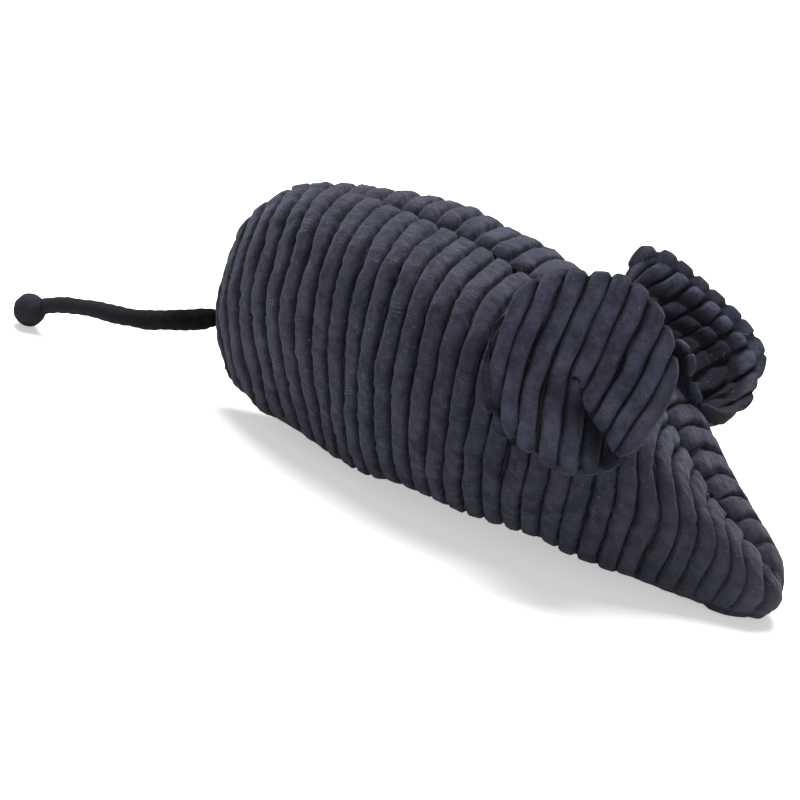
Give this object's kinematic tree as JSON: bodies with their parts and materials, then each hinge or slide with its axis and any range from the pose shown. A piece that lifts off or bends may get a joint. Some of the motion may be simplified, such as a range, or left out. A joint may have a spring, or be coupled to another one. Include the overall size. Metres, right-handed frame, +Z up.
{
  "type": "catnip mouse",
  "caption": "Plush catnip mouse of charcoal jumbo corduroy: a stuffed teardrop body with a flat belly, cupped ears sewn on at their roots, and a knotted cord tail.",
  "frame": {"origin": "on the floor in the flat of the belly, in the plane of the back seam, near the middle of the body's length", "axes": "+X to the nose, +Y to the mouse's left, +Z up"},
  "size_m": [0.1797, 0.0905, 0.0675],
  "materials": {
    "corduroy": "cut-pile jumbo corduroy, charcoal with a blue cast, soft sheen on the crests of the wales",
    "belly_corduroy": "cut-pile jumbo corduroy, charcoal with a blue cast",
    "ear_corduroy": "cut-pile jumbo corduroy, charcoal with a blue cast",
    "tail_cord": "soft round cord, near black",
    "knot": "soft cord tied in a knot, dark grey, a little fuzzy",
    "thread": "sewing thread, near black, matt",
    "filling": "loose white polyester fibre",
    "pouch_cloth": "thin undyed cotton cloth",
    "catnip": "crumbled dried leaves"
  },
  "bodies": {
    "mouse_body": {"side_panel_right": "corduroy", "side_panel_left": "corduroy", "belly_panel": "belly_corduroy", "stitching_back": "thread", "stitching_rump": "thread", "stitching_belly_right": "thread", "stitching_belly_left": "thread", "filling_rear": "filling", "filling_front": "filling", "catnip_pouch": "pouch_cloth", "catnip": "catnip", "pouch_tie": "thread", "tail_anchor": "tail_cord", "ear_right_root_stitches": "thread", "ear_left_root_stitches": "thread"},
    "ear_right": {"ear_right_outer": "ear_corduroy", "ear_right_inner": "ear_corduroy"},
    "ear_left": {"ear_left_outer": "ear_corduroy", "ear_left_inner": "ear_corduroy"},
    "tail_root": {"tail_bend": "tail_cord"},
    "tail": {"tail_cord": "tail_cord", "tail_knot": "knot"}
  },
  "joints": [
    {"name": "ear_right_fold", "type": "hinge", "parent": "mouse_body", "child": "ear_right", "pos_m": [0.02927, -0.021, 0.02977], "axis": [0.6816, 0.4811, 0.5513], "range_deg": [0, 40], "stiffness_Nm_per_rad": 0.02},
    {"name": "ear_left_fold", "type": "hinge", "parent": "mouse_body", "child": "ear_left", "pos_m": [0.02371, 0.01434, 0.04034], "axis": [0.829, 0, -0.5593], "range_deg": [0, 40], "stiffness_Nm_per_rad": 0.02},
    {"name": "tail_swing", "type": "hinge", "parent": "mouse_body", "child": "tail_root", "pos_m": [-0.06952, 0, 0.01622], "axis": [0, 0, 1], "range_deg": [-40, 40]},
    {"name": "tail_lift", "type": "hinge", "parent": "tail_root", "child": "tail", "pos_m": [-0.06952, 0, 0.01622], "axis": [0, 1, 0], "range_deg": [0, 50]}
  ]
}
